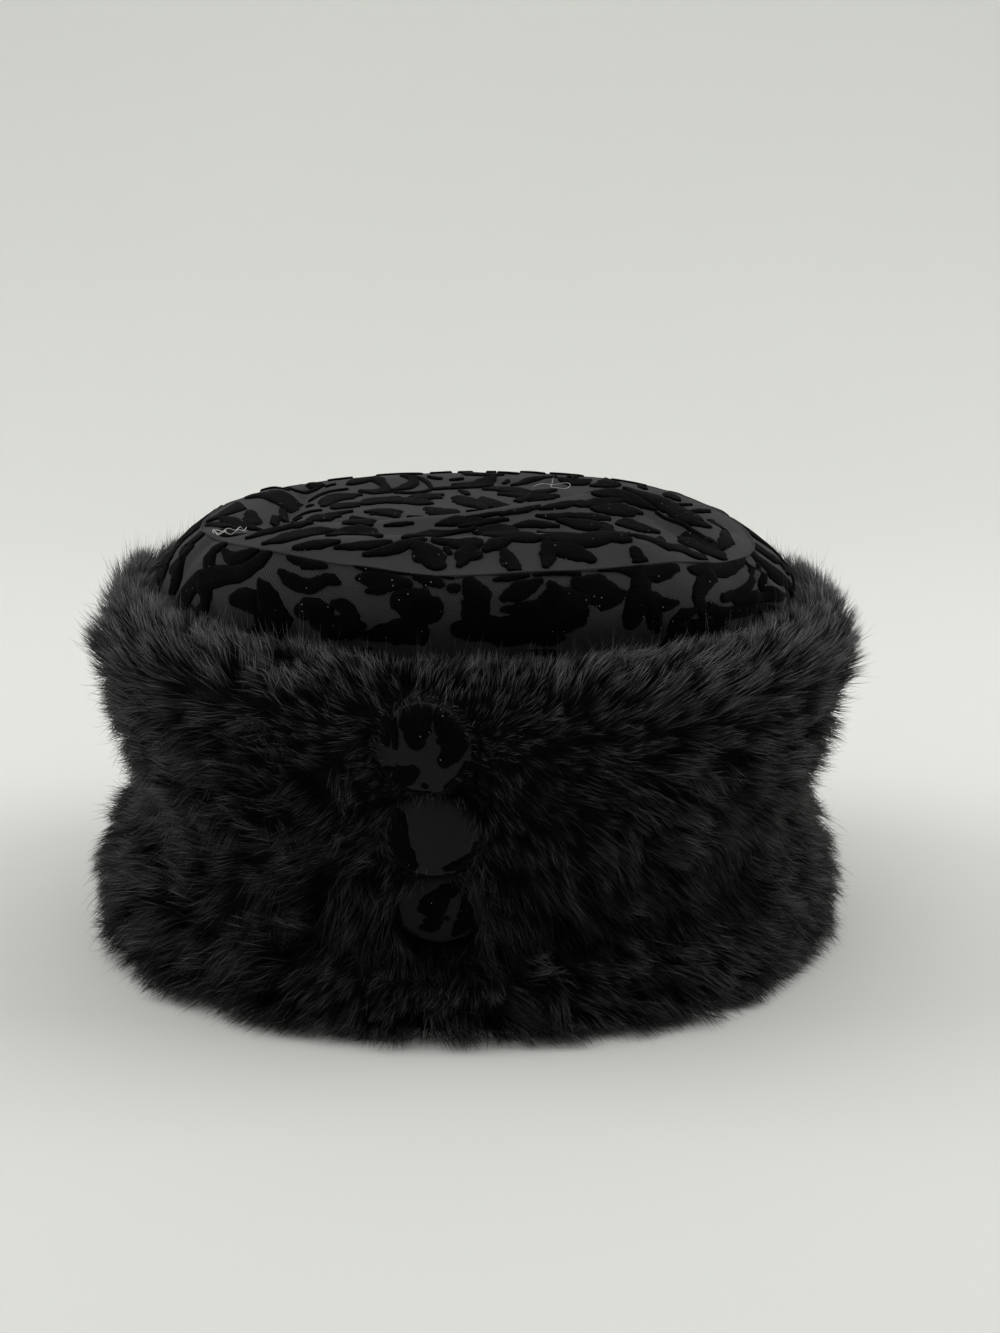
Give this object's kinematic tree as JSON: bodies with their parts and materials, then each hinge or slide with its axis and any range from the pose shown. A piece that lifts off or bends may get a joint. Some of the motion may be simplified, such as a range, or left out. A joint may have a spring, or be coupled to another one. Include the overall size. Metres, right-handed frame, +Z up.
{
  "type": "pillbox hat",
  "caption": "Pillbox hat: a deep fur band round a soft crown of patterned velvet, with a column of covered buttons at the front and an open hollow for the head.",
  "frame": {"origin": "on the floor, under the middle of the hat", "axes": "+Z up, -Y towards the hat's front, where the buttons are, +X towards the wearer's left"},
  "size_m": [0.2482, 0.2364, 0.1378],
  "materials": {
    "black_fur": "deep soft pile, black, with a faint sheen along the nap",
    "patterned_velvet": "dark grey twill ground with raised black velvet scrolls and leaves"
  },
  "bodies": {
    "root": {"fur_band": "black_fur", "crown_side": "patterned_velvet", "crown_tip": "patterned_velvet", "button_upper": "patterned_velvet", "button_middle": "patterned_velvet", "button_lower": "patterned_velvet"}
  },
  "joints": []
}
